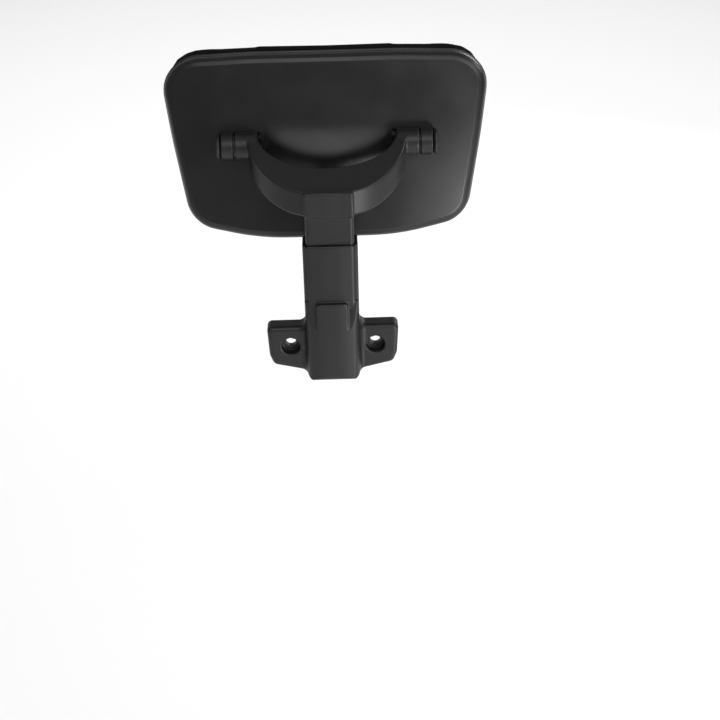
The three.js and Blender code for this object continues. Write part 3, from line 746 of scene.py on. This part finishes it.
def foam_block():
    """The foam inside the cover, a few millimetres smaller all round."""
    back, front = raised(RIM_DEPTH + 1.5), sunk_crown(7)
    net = ring_form(pad_outline(120), [
        *[(FOAM_INSET + 1, fraction, back) for fraction in np.linspace(0.1, 1, 6)],
        (FOAM_INSET, 1, raised(RIM_DEPTH + 4)),
        (FOAM_INSET, 1, raised(RIM_DEPTH + 10)),
        (FOAM_INSET + 4, 1, raised(RIM_DEPTH + 14)),
        *[(FOAM_INSET + 15, fraction, front) for fraction in np.linspace(1, 0.1, 8)],
    ])
    return new_piece("foam_block", *net, PAD_PLACE)


def run_cloth(piece, held, frames=20, pressure=4.0):
    """Blows the closed form up like a cover over foam, with some points held, and keeps the result."""
    group = piece.vertex_groups.new(name="held")
    group.add(held, 1.0, "REPLACE")
    cloth = piece.modifiers.new("cover", "CLOTH")
    cloth.settings.vertex_group_mass = "held"
    cloth.settings.use_pressure = True
    cloth.settings.uniform_pressure_force = pressure
    cloth.settings.effector_weights.gravity = 0
    cloth.settings.tension_stiffness = 20
    cloth.settings.compression_stiffness = 20
    cloth.settings.bending_stiffness = 1.5
    cloth.collision_settings.use_collision = False
    cloth.point_cache.frame_start = 1
    cloth.point_cache.frame_end = frames
    for number in range(1, frames + 1):
        bpy.context.scene.frame_set(number)
    apply_modifiers(piece)
    bpy.context.scene.frame_set(1)


def vertex_array(mesh):
    flat = np.empty(len(mesh.vertices) * 3)
    mesh.vertices.foreach_get("co", flat)
    return flat.reshape(-1, 3)


def set_vertices(mesh, points):
    mesh.vertices.foreach_set("co", np.asarray(points, float).ravel())
    mesh.update()


def in_pad(points_m):
    """Metres in the frame's axes to millimetres in the pad's."""
    turn = np.array(PAD_PLACE.to_3x3())
    return (points_m / MM - np.array(PAD_PLACE.translation)) @ turn


def blow_up(cover):
    """Runs the cloth with everything inside the shell's rim held, and limits how far a point moves."""
    start = vertex_array(cover.data)
    local = in_pad(start)
    depth = local[:, 1] - wrapped(local[:, 0], local[:, 2])
    run_cloth(cover, np.flatnonzero(depth < RIM_DEPTH + 1.5).tolist())
    moved = vertex_array(cover.data) - start
    far = np.linalg.norm(moved, axis=1, keepdims=True)
    most = CLOTH_CAP * MM
    # small moves stay as they are, and long ones level off at the cap
    moved *= most * np.tanh(far / most) / np.maximum(far, 1e-9)
    set_vertices(cover.data, start + moved)


def cushion_cover():
    """The knitted cover over its foam, remeshed evenly, blown up and smoothed."""
    cover = new_piece("cushion_cover", *cushion_start(), PAD_PLACE)
    remesh = cover.modifiers.new("even", "REMESH")
    remesh.mode = "VOXEL"
    remesh.voxel_size = CLOTH_VOXEL * MM
    apply_modifiers(cover)
    blow_up(cover)
    smooth = cover.modifiers.new("even_out", "SMOOTH")
    smooth.iterations = 6
    cover.modifiers.new("finer", "SUBSURF").levels = 1
    apply_modifiers(cover)
    cover.data.shade_smooth()
    return cover


def seam_line(cover, count, distance, depth):
    """Points on the cover along a line that follows the pad's outline, with the normals there."""
    tree = BVHTree.FromObject(cover, bpy.context.evaluated_depsgraph_get())
    line = ring_points(pad_outline(count), [(distance, 1, depth)])[0]
    line = evenly(line, count)
    found = [tree.find_nearest(Vector(p)) for p in placed(line, PAD_PLACE) * MM]
    points = np.array([hit[0] for hit in found]) / MM
    normals = np.array([hit[1] for hit in found])
    for _ in range(3):
        points = (np.roll(points, 1, axis=0) + 2 * points + np.roll(points, -1, axis=0)) / 4
        normals = (np.roll(normals, 1, axis=0) + 2 * normals + np.roll(normals, -1, axis=0)) / 4
    return points, normals / np.linalg.norm(normals, axis=1, keepdims=True)


def tube(points, normals, radius, sides=10):
    """A closed tube round a closed line."""
    tangent = np.roll(points, -1, axis=0) - np.roll(points, 1, axis=0)
    tangent /= np.linalg.norm(tangent, axis=1, keepdims=True)
    across = np.cross(tangent, normals)
    rows = [
        points + radius * (math.cos(a) * across + math.sin(a) * normals)
        for a in 2 * math.pi * np.arange(sides) / sides
    ]
    count = len(points)
    faces = []
    for side, i in product(range(sides), range(count)):
        here, after = side * count, (side + 1) % sides * count
        onward = (i + 1) % count
        faces.append([here + i, here + onward, after + onward, after + i])
    return np.vstack(rows), faces


def cushion_piping(cover):
    """The cord sewn into the seam between the side and the front panel."""
    points, normals = seam_line(cover, 400, SEAM_INSET, raised(SEAM_DEPTH))
    return new_piece("cushion_piping", *tube(points, normals, PIPING_RADIUS))


def stitch_mesh(start, end, normal, sides=6):
    """One stitch: a short thread that rises out of the cloth and goes back into it."""
    along = end - start
    across = unit(np.cross(along, normal))
    rings = 6
    rows = []
    for share in np.linspace(0, 1, rings):
        lift = STITCH_RADIUS * (1.1 * math.sin(math.pi * share) - 0.5)
        radius = STITCH_RADIUS * (0.65 + 0.35 * math.sin(math.pi * share))
        middle = start + share * along + lift * normal
        for a in 2 * math.pi * np.arange(sides) / sides:
            rows.append(middle + radius * (math.cos(a) * across + math.sin(a) * normal))
    last = (rings - 1) * sides
    faces = [list(range(sides))[::-1], [last + i for i in range(sides)]]
    for here, i in product(range(0, last, sides), range(sides)):
        j = (i + 1) % sides
        faces.append([here + i, here + j, here + sides + j, here + sides + i])
    return np.array(rows), faces


def seam_stitches(cover):
    """A row of top stitches on the front panel, beside the piping."""
    line_length = np.linalg.norm(np.diff(pad_outline(400), axis=0), axis=1).sum()
    count = int(line_length / STITCH_PITCH)
    points, normals = seam_line(cover, count, STITCH_INSET, sunk_crown(4))
    all_points, all_faces, used = [], [], 0
    for i in range(count):
        onward = unit(points[(i + 1) % count] - points[i])
        place, faces = stitch_mesh(points[i], points[i] + STITCH_LENGTH * onward, normals[i])
        all_points.append(place)
        all_faces += [[used + corner for corner in face] for face in faces]
        used += len(place)
    return new_piece("cushion_stitches", np.vstack(all_points), all_faces)


# ---------- materials ----------
class Surface:
    """A node material under construction. Lengths given to its textures are in millimetres."""

    def __init__(self, name, colour, roughness, metallic=0.0):
        self.material = bpy.data.materials.new(name)
        self.material.use_nodes = True
        self.tree = self.material.node_tree
        self.shader = self.tree.nodes["Principled BSDF"]
        self.shader.inputs["Base Color"].default_value = (*colour, 1)
        self.shader.inputs["Roughness"].default_value = roughness
        self.shader.inputs["Metallic"].default_value = metallic
        self.place = self.node("ShaderNodeTexCoord").outputs["Object"]

    def node(self, kind, inputs=None, **settings):
        made = self.tree.nodes.new(kind)
        for key, value in settings.items():
            setattr(made, key, value)
        for key, value in (inputs or {}).items():
            self.feed(made.inputs[key], value)
        return made

    def feed(self, socket, value):
        """Links another node's output to the socket, or sets the socket's own value."""
        if isinstance(value, bpy.types.NodeSocket):
            self.tree.links.new(value, socket)
        else:
            socket.default_value = value

    def noise(self, size, detail=2.0):
        inputs = {"Vector": self.place, "Scale": 1 / (size * MM), "Detail": detail}
        return self.node("ShaderNodeTexNoise", inputs).outputs["Fac"]

    def cells(self, size):
        inputs = {"Vector": self.place, "Scale": 1 / (size * MM)}
        return self.node("ShaderNodeTexVoronoi", inputs, feature="F1").outputs["Distance"]

    def maths(self, operation, first, second=0.0):
        return self.node("ShaderNodeMath", {0: first, 1: second}, operation=operation).outputs[0]

    def between(self, value, low, high, low_result, high_result):
        """Maps value from low..high to low_result..high_result, smoothly, and no further."""
        inputs = {
            "Value": value,
            "From Min": low,
            "From Max": high,
            "To Min": low_result,
            "To Max": high_result,
        }
        return self.node("ShaderNodeMapRange", inputs, interpolation_type="SMOOTHSTEP").outputs["Result"]

    def blend(self, share, first, second):
        """Goes from the first colour to the second as share goes from 0 to 1."""
        made = self.node("ShaderNodeMix", data_type="RGBA")
        factor, first_colour, second_colour, result = 0, 6, 7, 2  # the colour mix's own sockets
        self.feed(made.inputs[factor], share)
        self.feed(made.inputs[first_colour], (*first, 1))
        self.feed(made.inputs[second_colour], (*second, 1))
        return made.outputs[result]

    def bump(self, height, depth):
        """Relief whose depth, in millimetres, runs from the lowest to the highest value of height."""
        inputs = {"Height": height, "Distance": depth * MM, "Strength": 1.0}
        return self.node("ShaderNodeBump", inputs).outputs["Normal"]

    def set(self, name, value):
        self.feed(self.shader.inputs[name], value)


def scaled(colour, share):
    return tuple(channel * share for channel in colour)


def moulded_plastic(name, colour, roughness, grain_size, grain_depth, worn=1.9):
    """Black injection moulding: fine spark grain, a slow drift of gloss, and edges rubbed a little paler."""
    surface = Surface(name, colour, roughness)
    grain = surface.noise(grain_size, detail=3)
    drift = surface.noise(38, detail=3)
    pointed = surface.node("ShaderNodeNewGeometry").outputs["Pointiness"]
    edge = surface.between(pointed, 0.515, 0.56, 0, 1)
    patchy = surface.between(surface.noise(7, detail=3), 0.35, 0.6, 0.35, 1)
    rubbed = surface.maths("MULTIPLY", edge, patchy)
    surface.set("Base Color", surface.blend(rubbed, colour, scaled(colour, worn)))
    gloss = surface.between(drift, 0.35, 0.65, roughness - 0.035, roughness + 0.035)
    surface.set("Roughness", surface.maths("SUBTRACT", gloss, surface.maths("MULTIPLY", rubbed, 0.05)))
    surface.set("Normal", surface.bump(grain, grain_depth))
    return surface.material


def knitted_cover(name, colour):
    """A dense warp knit: small raised diamonds in slanting rows, with painted shade in the gaps between them."""
    surface = Surface(name, colour, 0.85)
    across, inward, upward = surface.node("ShaderNodeSeparateXYZ", {0: surface.place}).outputs
    pitch = 2.6 * MM
    # the slanting rows run over the front and the sides alike, so they take depth in as well
    height = surface.maths("ADD", upward, surface.maths("MULTIPLY", inward, 0.9))
    columns = surface.maths("DIVIDE", across, pitch)
    rows = surface.maths("DIVIDE", height, pitch)
    rising = surface.maths("ADD", columns, rows)
    falling = surface.maths("SUBTRACT", columns, rows)
    waves = [surface.maths("SINE", surface.maths("MULTIPLY", v, math.pi)) for v in (rising, falling)]
    hills = surface.maths("ABSOLUTE", surface.maths("MULTIPLY", *waves))
    thread = surface.noise(0.45, detail=2)
    relief = surface.maths("ADD", hills, surface.maths("MULTIPLY", thread, 0.35))
    drift = surface.between(surface.noise(22, detail=2), 0.3, 0.7, 0.85, 1.15)
    # painted shade: the colour is darkened in the gaps between the raised diamonds; the slow drift is a random
    # tone of the cloth
    painted_gap_shade = surface.between(hills, 0.05, 0.6, 0.25, 1)
    gap_shade_and_tone = surface.maths("MULTIPLY", painted_gap_shade, drift)
    surface.set("Base Color", surface.blend(gap_shade_and_tone, scaled(colour, 0.25), scaled(colour, 1.3)))
    surface.set("Roughness", surface.between(thread, 0.3, 0.7, 0.78, 0.95))
    surface.set("Normal", surface.bump(relief, 0.28))
    surface.set("Sheen Weight", 0.01)
    surface.set("Sheen Roughness", 0.5)
    surface.set("Specular IOR Level", 0.04)
    return surface.material


def thread_cord(name, colour):
    """Twisted yarn for the piping and the stitches."""
    surface = Surface(name, colour, 0.7)
    twist = surface.node(
        "ShaderNodeTexWave",
        {"Vector": surface.place, "Scale": 0.35 / MM, "Distortion": 1.5, "Detail": 1.0},
        bands_direction="DIAGONAL",
    ).outputs["Fac"]
    surface.set("Base Color", surface.blend(twist, scaled(colour, 0.6), scaled(colour, 1.3)))
    surface.set("Roughness", surface.between(twist, 0, 1, 0.8, 0.62))
    surface.set("Normal", surface.bump(twist, 0.12))
    surface.set("Sheen Weight", 0.02)
    surface.set("Specular IOR Level", 0.15)
    return surface.material


def plated_steel(name, colour, roughness):
    """Zinc-plated steel: a fine cloudy spangle with turning marks."""
    surface = Surface(name, colour, roughness, metallic=1.0)
    cloud = surface.noise(2.4, detail=4)
    surface.set("Base Color", surface.blend(cloud, scaled(colour, 0.75), colour))
    surface.set("Roughness", surface.between(cloud, 0.3, 0.7, roughness - 0.08, roughness + 0.1))
    surface.set("Normal", surface.bump(surface.noise(0.35, detail=2), 0.01))
    return surface.material


def open_foam(name, colour):
    """Cut polyurethane foam: open cells of about a millimetre."""
    surface = Surface(name, colour, 0.95)
    pores = surface.cells(1.1)
    shade = surface.between(pores, 0, 0.5, 0, 1)
    surface.set("Base Color", surface.blend(shade, colour, scaled(colour, 0.45)))
    surface.set("Normal", surface.bump(surface.maths("SUBTRACT", 1.0, pores), 0.5))
    return surface.material


def plain_plastic(name, colour, roughness, mottle):
    """Unfinished plastic with flow mottling, for the parts hidden inside."""
    surface = Surface(name, colour, roughness)
    flow = surface.noise(9, detail=4)
    surface.set("Base Color", surface.blend(flow, scaled(colour, 1 - mottle), scaled(colour, 1 + mottle)))
    surface.set("Roughness", surface.between(flow, 0.3, 0.7, roughness - 0.06, roughness + 0.06))
    surface.set("Normal", surface.bump(surface.noise(0.5, detail=2), 0.02))
    return surface.material


def make_materials():
    shell_black = (0.0045, 0.0045, 0.0047)
    moulding_black = (0.005, 0.005, 0.0052)
    return {
        "satin_shell": moulded_plastic("satin_shell", shell_black, 0.34, 0.55, 0.008, worn=1.6),
        "black_moulding": moulded_plastic("black_moulding", moulding_black, 0.44, 0.5, 0.02),
        "cover_fabric": knitted_cover("cover_fabric", (0.0055, 0.0055, 0.0057)),
        "cover_thread": thread_cord("cover_thread", (0.007, 0.007, 0.0073)),
        "white_glide": plain_plastic("white_glide", (0.68, 0.67, 0.63), 0.38, 0.06),
        "zinc_steel": plated_steel("zinc_steel", (0.62, 0.63, 0.65), 0.34),
        "spring_steel": plated_steel("spring_steel", (0.36, 0.37, 0.39), 0.28),
        "grey_board": plain_plastic("grey_board", (0.075, 0.07, 0.066), 0.6, 0.15),
        "foam": open_foam("foam", (0.11, 0.11, 0.12)),
    }


def dress_frame_nodes(materials):
    """Every CAD node keeps its slot's finish, whether it shows or not."""
    for part in frame["record"]["subparts"]:
        node = frame["nodes"][part["node"]]
        node.data.materials.clear()
        node.data.materials.append(materials[part["material_slot"]])


# ---------- camera, floor and light ----------
CAMERA_AIM = Vector((0.0225, -0.0220, -0.0111))
CAMERA_DISTANCE = 1.114
CAMERA_ELEVATION = math.radians(31)
CAMERA_AZIMUTH = math.radians(-1)
CAMERA_ROLL = math.radians(1.2)
CAMERA_LENS = 65  # on a 36 mm sensor
FLOOR_Z = -0.6
FLOOR_HALF_WIDTH = 30


def make_camera():
    camera = bpy.data.objects.new("camera", bpy.data.cameras.new("camera"))
    bpy.context.scene.collection.objects.link(camera)
    camera.data.lens = CAMERA_LENS
    camera.data.sensor_width = 36
    camera.data.clip_end = 100
    back = Vector((
        math.sin(CAMERA_AZIMUTH) * math.cos(CAMERA_ELEVATION),
        -math.cos(CAMERA_AZIMUTH) * math.cos(CAMERA_ELEVATION),
        math.sin(CAMERA_ELEVATION),
    ))
    turn = back.to_track_quat("Z", "Y").to_matrix().to_4x4()
    roll = Matrix.Rotation(-CAMERA_ROLL, 4, "Z")
    camera.matrix_world = Matrix.Translation(CAMERA_AIM + CAMERA_DISTANCE * back) @ turn @ roll
    bpy.context.scene.camera = camera


def make_floor():
    mesh = bpy.data.meshes.new("studio_floor")
    signs = [(-1, -1), (1, -1), (1, 1), (-1, 1)]
    corners = [(FLOOR_HALF_WIDTH * across, FLOOR_HALF_WIDTH * on, FLOOR_Z) for across, on in signs]
    mesh.from_pydata(corners, [], [(0, 1, 2, 3)])
    surface = Surface("studio_floor", (0.82, 0.82, 0.82), 0.9)
    tone = surface.noise(700, detail=2)
    surface.set("Base Color", surface.blend(tone, (0.815, 0.815, 0.815), (0.825, 0.825, 0.825)))
    surface.set("Specular IOR Level", 0.0)
    mesh.materials.append(surface.material)
    floor = bpy.data.objects.new("studio_floor", mesh)
    bpy.context.scene.collection.objects.link(floor)


def soft_light(name, place, target, width, height, power, in_reflections=True):
    """A rectangular lamp at place, turned to target; lengths are in metres and power in watts."""
    light = bpy.data.lights.new(name, "AREA")
    light.shape = "RECTANGLE"
    light.size = width
    light.size_y = height
    light.energy = power
    lamp = bpy.data.objects.new(name, light)
    bpy.context.scene.collection.objects.link(lamp)
    toward = Vector(target) - Vector(place)
    lamp.matrix_world = Matrix.Translation(place) @ toward.to_track_quat("-Z", "Y").to_matrix().to_4x4()
    lamp.visible_glossy = in_reflections
    lamp.visible_camera = False


def make_light():
    world = bpy.data.worlds.new("studio")
    world.use_nodes = True
    world.node_tree.nodes["Background"].inputs["Color"].default_value = (0.29, 0.29, 0.29, 1)
    bpy.context.scene.world = world
    soft_light("floor_wash", (0, 2.15, 2.4), (0, 2.15, 0), 5, 4.4, 134, in_reflections=False)
    soft_light("high_panel", (0, -1.9, 2.0), (0, 0, 0.1), 2.4, 1.6, 20)
    soft_light("front_right_panel", (1.4, -1.2, 1.1), (0, 0, 0.1), 1.0, 0.8, 9.5)
    soft_light("low_card", (1.02, -1.34, -0.3), (0.1, 0, 0.1), 0.55, 0.42, 13.5)
    soft_light("back_right_panel", (0.8, 2.0, 0.3), (0, 0, 0.15), 0.5, 0.4, 3)
    soft_light("right_lamp", (1.6, 0.5, 0.95), (0, 0, 0.1), 0.5, 0.5, 4.5)
    settings = bpy.context.scene.view_settings
    settings.view_transform = "Standard"
    settings.look = "None"


# ---------- the headrest ----------
def build_mount(materials):
    black = materials["black_moulding"]
    net = surface_net(bracket_form(), BRACKET_LOW, BRACKET_HIGH, NET_CELL)
    bracket = new_piece("bracket_moulding", *net)
    finish_piece(bracket, "mount_body", black, "black_moulding", "mount_bracket")


def build_yoke(materials):
    black = materials["black_moulding"]
    net = surface_net(yoke_form(), YOKE_LOW, YOKE_HIGH, NET_CELL)
    yoke = new_piece("yoke_moulding", *net)
    finish_piece(yoke, "yoke_body", black, "black_moulding", "yoke")


def build_hinges(materials):
    """The knuckles and caps, each meshed once and mirrored to the left."""
    black = materials["black_moulding"]
    reach = BARREL_RADIUS + 1
    knuckle_high = (KNUCKLE_OUTER, POCKET_FLOOR, reach)
    knuckle = surface_net(knuckle_form(), (KNUCKLE_INNER, -reach, -reach), knuckle_high, KNUCKLE_CELL)
    cap = surface_net(cap_form(), (CAP_INNER, -reach, -reach), (CAP_OUTER, reach, reach), CAP_CELL)
    for side, word in ((-1, "left"), (1, "right")):
        made = new_piece(f"knuckle_{word}", *mirror_net(knuckle, side), PAD_PLACE)
        finish_piece(made, "pad_body", black, "black_moulding", f"hinge_knuckle_{word}")
        made = new_piece(f"cap_{word}", *mirror_net(cap, side), PAD_PLACE)
        finish_piece(made, "pad_body", black, "black_moulding", f"hinge_cap_{word}")


def build_pad(materials):
    shell = shell_moulding()
    finish_piece(shell, "pad_body", materials["satin_shell"], "satin_shell", "rear_shell")
    build_hinges(materials)
    foam = foam_block()
    finish_piece(foam, "pad_body", materials["foam"], "foam", "foam_core")
    cover = cushion_cover()
    piping = cushion_piping(cover)
    stitches = seam_stitches(cover)
    finish_piece(cover, "pad_body", materials["cover_fabric"], "cover_fabric", "fabric_cover")
    finish_piece(piping, "pad_body", materials["cover_thread"], "cover_fabric")
    finish_piece(stitches, "pad_body", materials["cover_thread"], "cover_fabric")


make_camera()
make_floor()
make_light()
finishes = make_materials()
dress_frame_nodes(finishes)
build_mount(finishes)
build_yoke(finishes)
build_pad(finishes)
